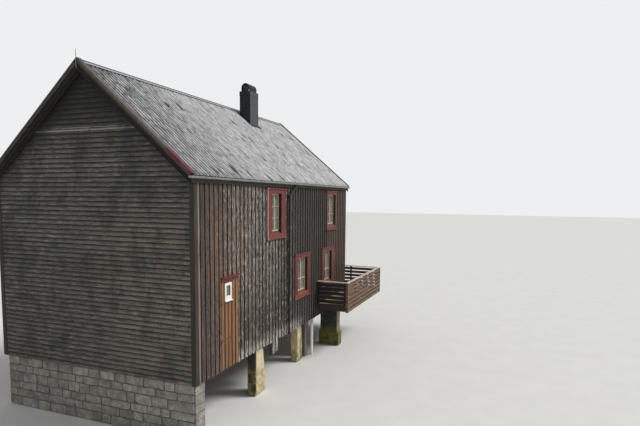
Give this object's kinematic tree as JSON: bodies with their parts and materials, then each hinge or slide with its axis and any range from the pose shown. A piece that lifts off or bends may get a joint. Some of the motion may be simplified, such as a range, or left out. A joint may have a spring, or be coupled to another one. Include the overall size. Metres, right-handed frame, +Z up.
{
  "type": "waterside boathouse with living floors",
  "caption": "Two-storey timber boathouse on piers over water, with a corrugated metal roof, red-framed windows, a plank side door and a railed balcony wrapping round its sea end.",
  "frame": {"origin": "middle of the whole building in plan, gutters and balcony included, on the level that its piers and foundation stand on", "axes": "+Z up, +Y along the ridge from the landward gable to the sea gable, +X towards the wall with the side door and the balcony"},
  "size_m": [8.5254, 13.89, 11.0745],
  "materials": {
    "dark_boards": "rough",
    "grey_boards": "rough",
    "dark_trim": "rough",
    "grey_trim": "rough",
    "beams": "rough",
    "floor_boards": "satin",
    "stone": "rough",
    "pale_concrete": "rough",
    "dark_concrete": "rough",
    "roof_sheet": "matte",
    "dark_sheet": "matte",
    "gutter_metal": "satin",
    "black_pipe": "satin",
    "red_paint": "satin",
    "white_paint": "satin",
    "pane": "gloss",
    "door_boards": "rough",
    "iron": "rough",
    "rail_boards": "rough",
    "rail_top": "rough"
  },
  "bodies": {
    "house": {"landward_gable": "dark_boards", "sea_gable": "dark_boards", "left_wall": "grey_boards", "right_wall": "grey_boards", "right_wall_corner": "grey_boards", "right_wall_at_door": "grey_boards", "corner_boards": "dark_trim", "floor_frame": "beams", "lower_floor": "floor_boards", "upper_floor": "floor_boards", "landward_foundation": "stone", "near_piers": "pale_concrete", "middle_piers": "pale_concrete", "sea_piers": "dark_concrete", "middle_posts": "grey_trim", "roof_decks": "beams", "right_roof_sheets": "roof_sheet", "left_roof_sheets": "roof_sheet", "ridge_cap": "dark_sheet", "bargeboards": "grey_trim", "verge_boards": "dark_trim", "fascia_boards": "dark_trim", "gutters": "gutter_metal", "downpipes": "black_pipe", "chimney": "dark_sheet", "chimney_hood": "dark_sheet", "ridge_spike": "gutter_metal", "window_frames": "red_paint", "window_sashes": "white_paint", "window_panes": "pane", "door_frames": "red_paint", "door_hood": "red_paint", "balcony_door": "door_boards", "hinge_pins": "iron", "balcony_joists": "beams", "balcony_rim": "dark_trim", "balcony_deck": "floor_boards", "side_railing": "rail_boards", "sea_railing": "rail_boards", "end_railings": "rail_boards", "top_rail": "rail_top"},
    "door": {"side_door": "door_boards", "door_window": "white_paint", "door_pane": "pane", "door_fittings": "iron"}
  },
  "joints": [
    {"name": "side_door_hinge", "type": "hinge", "parent": "house", "child": "door", "pos_m": [2.9206, -5.449, 2.4225], "axis": [0, 0, -1], "range_deg": [0, 120]}
  ]
}
